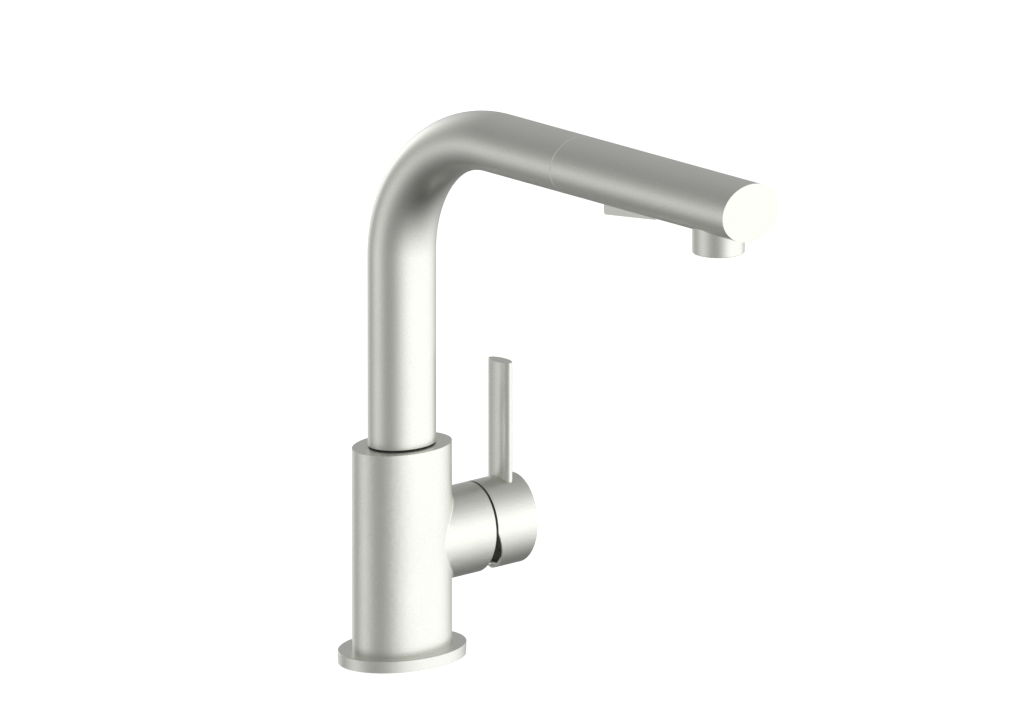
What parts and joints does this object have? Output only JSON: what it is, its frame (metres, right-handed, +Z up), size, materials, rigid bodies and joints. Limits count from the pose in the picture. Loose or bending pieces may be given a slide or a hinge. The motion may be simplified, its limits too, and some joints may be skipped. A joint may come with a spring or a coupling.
{
  "type": "pull-out kitchen faucet",
  "caption": "Single-lever kitchen faucet with an oval swivelling spout, a side lever and a pull-out spray head with a rocker diverter, for a round deck hole.",
  "frame": {"origin": "centre of the base on the sink deck, the plane that the flange and the body's foot rest on", "axes": "+Z up out of the deck, +X along the spout toward the outlet, +Y toward the lever on the side"},
  "size_m": [0.283, 0.1119, 0.2949],
  "materials": {
    "satin_nickel": "satin, fine blasted grain",
    "brass": "machined",
    "steel": "bright stainless",
    "white_plastic": "moulded acetal",
    "grey_plastic": "moulded",
    "dark_rubber": "matt",
    "ceramic": "lapped alumina",
    "braided_hose": "woven nylon braid over the hose"
  },
  "bodies": {
    "body": {"base_flange": "satin_nickel", "base_gasket": "dark_rubber", "body_casting": "satin_nickel", "swivel_bush": "white_plastic", "lower_glide_ring": "white_plastic", "upper_glide_ring": "dark_rubber", "swivel_stop_screw": "steel", "cartridge_base": "white_plastic", "cartridge_seals": "dark_rubber", "fixed_disc": "ceramic", "cartridge_housing": "white_plastic", "cartridge_nut": "steel"},
    "mixing_carrier": {"stem_carrier": "grey_plastic", "stem_pin": "steel"},
    "disc_slide": {"moving_disc": "ceramic", "disc_carrier": "grey_plastic"},
    "handle": {"handle_hub": "satin_nickel", "lever_bar": "satin_nickel", "lever_stud": "steel", "cartridge_stem": "brass", "hub_set_screw": "steel"},
    "spout": {"spout_tube": "satin_nickel", "tube_foot_collar": "brass", "dock_sleeve": "white_plastic", "pull_out_hose": "braided_hose"},
    "spray_head": {"head_shell": "satin_nickel", "head_collar": "grey_plastic", "head_waterway": "white_plastic", "hose_nut": "brass", "hose_washer": "dark_rubber", "check_valve": "grey_plastic", "nozzle_ring": "satin_nickel", "spray_face": "dark_rubber", "aerator_insert": "grey_plastic", "aerator_seal": "dark_rubber", "button_pin": "steel", "diverter_spring": "steel"},
    "button": {"diverter_button": "satin_nickel"},
    "diverter_piston": {"diverter_spool": "brass", "diverter_orings": "dark_rubber"}
  },
  "joints": [
    {"name": "spout_swivel", "type": "hinge", "parent": "body", "child": "spout", "pos_m": [0, 0, 0.111], "axis": [0, 0, 1], "range_deg": [-70, 70]},
    {"name": "head_pull", "type": "slide", "parent": "spout", "child": "spray_head", "axis": [1, 0, 0], "range_m": [0, 0.25], "deforming": ["pull_out_hose"]},
    {"name": "handle_turn", "type": "hinge", "parent": "body", "child": "mixing_carrier", "pos_m": [0, 0.046, 0.0589], "axis": [0, 1, 0], "range_deg": [-50, 50]},
    {"name": "handle_lift", "type": "hinge", "parent": "mixing_carrier", "child": "handle", "pos_m": [0, 0.046, 0.0589], "axis": [-1, 0, 0], "range_deg": [0, 22]},
    {"name": "disc_travel", "type": "slide", "parent": "mixing_carrier", "child": "disc_slide", "axis": [0, 0, 1], "range_m": [0, 0.00534]},
    {"name": "button_press", "type": "hinge", "parent": "spray_head", "child": "button", "pos_m": [0.1895, 0, 0.2686], "axis": [0, 1, 0], "range_deg": [0, 5]},
    {"name": "piston_travel", "type": "slide", "parent": "spray_head", "child": "diverter_piston", "axis": [0, 0, 1], "range_m": [0, 0.00203], "deforming": ["diverter_spring"]}
  ],
  "couplings": [
    {"joint": "disc_travel", "follows": "handle_lift", "m_per_rad": 0.013659},
    {"joint": "piston_travel", "follows": "button_press", "m_per_rad": 0.022156}
  ]
}
